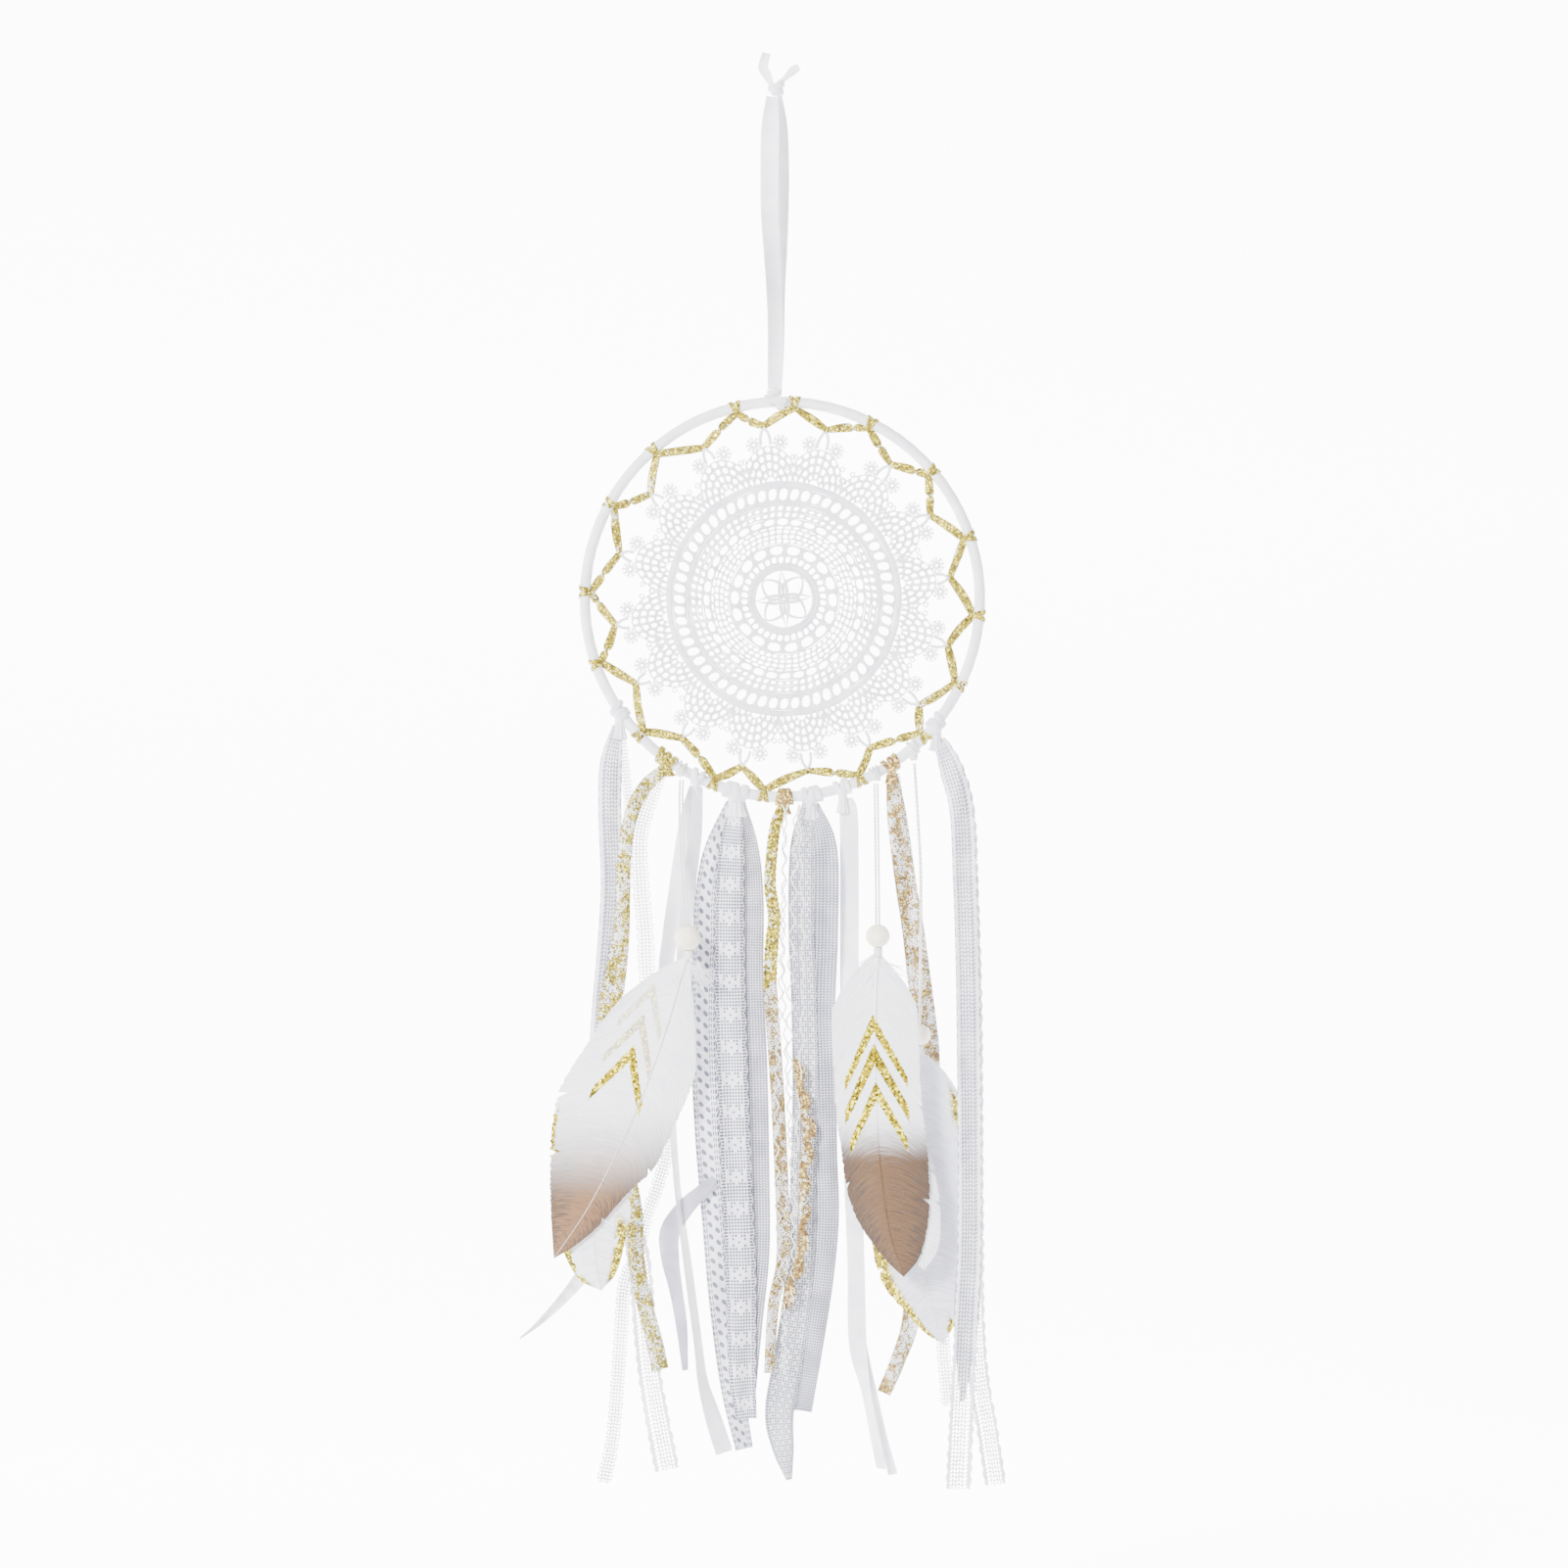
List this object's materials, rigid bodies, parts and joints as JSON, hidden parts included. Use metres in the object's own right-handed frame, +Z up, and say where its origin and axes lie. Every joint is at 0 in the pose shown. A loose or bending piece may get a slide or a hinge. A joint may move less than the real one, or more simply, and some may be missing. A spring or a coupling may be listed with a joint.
{
  "type": "dream catcher",
  "caption": "Hanging dream catcher: wrapped hoop laced to a crochet doily on a satin ribbon loop, with laces, ribbons, gold trims, wooden beads and feathers below.",
  "frame": {"origin": "hanging point, just under the top knot of the ribbon loop", "axes": "+Z up along the hanging ribbon, -Y towards the viewer, +X to the viewer's right"},
  "size_m": [0.2247, 0.0269, 0.7087],
  "materials": {
    "satin_white": "satin woven ribbon",
    "wrap_white": "wound cotton ribbon",
    "crochet_cotton": "crocheted mercerised cotton",
    "lace_white": "fine machine lace",
    "gold_lurex": "metallic glitter ribbon",
    "gold_trim": "sequin and metallic braid",
    "organza_grey": "sheer organza",
    "steel_wire": "drawn steel wire",
    "wood_bead": "turned, unvarnished",
    "cotton_cord": "twisted cotton cord",
    "feather_painted": "goose feather with metallic paint",
    "feather_white": "goose feather"
  },
  "bodies": {
    "hanger": {"top_knot": "satin_white", "knot_tails": "satin_white", "hanger_ribbon_front": "satin_white", "hanger_ribbon_back": "satin_white"},
    "hitch": {"hoop_hitch": "satin_white"},
    "hoop": {"hoop_wire": "steel_wire", "hoop_wrap": "wrap_white", "doily": "crochet_cotton", "lacing": "gold_lurex", "far_left_lace_knot": "lace_white", "left_gold_knot": "gold_lurex", "left_satin_knot": "satin_white", "left_lace_knot": "lace_white", "centre_gold_knot": "gold_lurex", "right_lace_knot": "lace_white", "right_satin_knot": "satin_white", "right_gold_knot": "gold_lurex", "far_right_lace_knot": "lace_white", "left_cord_knot": "cotton_cord", "right_cord_knot": "cotton_cord", "small_cord_knot": "cotton_cord"},
    "far_left_lace_strips": {"far_left_lace": "lace_white", "far_left_thin_ribbon": "cotton_cord"},
    "left_gold_strips": {"left_gold_lace": "gold_lurex", "left_eyelet_lace": "lace_white"},
    "left_satin_strips": {"left_satin_ribbon": "satin_white", "left_satin_short": "satin_white", "left_organza": "organza_grey"},
    "left_pendant": {"left_cords": "cotton_cord", "left_binding": "cotton_cord", "left_front_feather": "feather_painted", "left_back_feather": "feather_white"},
    "left_bead_body": {"left_bead": "wood_bead"},
    "left_lace_bunch": {"left_flower_lace": "lace_white", "left_hole_lace": "lace_white", "left_net_lace": "lace_white"},
    "centre_gold_strips": {"centre_sequin_trim": "gold_trim", "centre_lurex_braid": "gold_trim", "centre_wave_braid": "gold_trim"},
    "right_lace_bunch": {"right_scallop_lace": "lace_white", "right_tulle": "lace_white"},
    "right_satin_strips": {"right_satin_ribbon": "satin_white", "right_satin_tail": "satin_white"},
    "right_pendant": {"right_cords": "cotton_cord", "right_binding": "cotton_cord", "right_front_feather": "feather_painted", "right_back_feather": "feather_white"},
    "right_bead_body": {"right_bead": "wood_bead"},
    "small_pendant": {"small_cords": "cotton_cord", "small_binding": "cotton_cord", "small_feather": "feather_white"},
    "small_bead_body": {"small_bead": "wood_bead"},
    "right_gold_strips": {"right_gold_lace": "gold_lurex", "right_dotted_lace": "lace_white"},
    "far_right_lace_strips": {"far_right_lace": "lace_white", "far_right_under_lace": "lace_white"}
  },
  "joints": [
    {"name": "ribbon_twist", "type": "hinge", "parent": "hanger", "child": "hitch", "pos_m": [0.00056, 0, -0.15147], "axis": [0, 0, 1], "range_deg": [-90, 90]},
    {"name": "hoop_swing", "type": "hinge", "parent": "hitch", "child": "hoop", "pos_m": [0.00056, 0, -0.15155], "axis": [0.9993, 0, 0.0384], "range_deg": [-25, 25]},
    {"name": "far_left_lace_swing", "type": "hinge", "parent": "hoop", "child": "far_left_lace_strips", "pos_m": [-0.07587, 0, -0.30411], "axis": [1, 0, 0], "range_deg": [0, 35]},
    {"name": "left_gold_swing", "type": "hinge", "parent": "hoop", "child": "left_gold_strips", "pos_m": [-0.0691, 0.0018, -0.3274], "axis": [0, -1, 0], "range_deg": [-6, 6]},
    {"name": "left_satin_swing", "type": "hinge", "parent": "hoop", "child": "left_satin_strips", "pos_m": [-0.0444, -0.0044, -0.33664], "axis": [0, -1, 0], "range_deg": [-6, 6]},
    {"name": "left_pendant_swing", "type": "hinge", "parent": "hoop", "child": "left_pendant", "pos_m": [-0.04557, -0.005, -0.33396], "axis": [-1, 0, 0], "range_deg": [0, 45]},
    {"name": "left_lace_swing", "type": "hinge", "parent": "hoop", "child": "left_lace_bunch", "pos_m": [-0.0186, 0, -0.34347], "axis": [1, 0, 0], "range_deg": [0, 35]},
    {"name": "centre_gold_swing", "type": "hinge", "parent": "hoop", "child": "centre_gold_strips", "pos_m": [0.00532, 0, -0.34619], "axis": [-1, 0, 0], "range_deg": [0, 40]},
    {"name": "right_lace_swing", "type": "hinge", "parent": "hoop", "child": "right_lace_bunch", "pos_m": [0.0174, -0.0024, -0.34516], "axis": [0, -1, 0], "range_deg": [-6, 6]},
    {"name": "right_satin_swing", "type": "hinge", "parent": "hoop", "child": "right_satin_strips", "pos_m": [0.0408, 0.0018, -0.34154], "axis": [0, -1, 0], "range_deg": [-6, 6]},
    {"name": "right_pendant_swing", "type": "hinge", "parent": "hoop", "child": "right_pendant", "pos_m": [0.05033, -0.005, -0.33614], "axis": [-1, 0, 0], "range_deg": [0, 45]},
    {"name": "small_pendant_swing", "type": "hinge", "parent": "hoop", "child": "small_pendant", "pos_m": [0.0729, 0.001, -0.32614], "axis": [0, -1, 0], "range_deg": [-4, 4]},
    {"name": "right_gold_swing", "type": "hinge", "parent": "hoop", "child": "right_gold_strips", "pos_m": [0.0582, 0, -0.32993], "axis": [1, 0, 0], "range_deg": [0, 35]},
    {"name": "far_right_lace_swing", "type": "hinge", "parent": "hoop", "child": "far_right_lace_strips", "pos_m": [0.096, -0.004, -0.30983], "axis": [0, -1, 0], "range_deg": [-4, 4]},
    {"name": "left_bead_slide", "type": "slide", "parent": "left_pendant", "child": "left_bead_body", "axis": [-0.0756, 0.0015, 0.9971], "range_m": [0, 0.035]},
    {"name": "right_bead_slide", "type": "slide", "parent": "right_pendant", "child": "right_bead_body", "axis": [-0.0079, 0.0521, 0.9986], "range_m": [0, 0.035]},
    {"name": "small_bead_slide", "type": "slide", "parent": "small_pendant", "child": "small_bead_body", "axis": [0.0142, -0.0039, 0.9999], "range_m": [0, 0.04]}
  ]
}
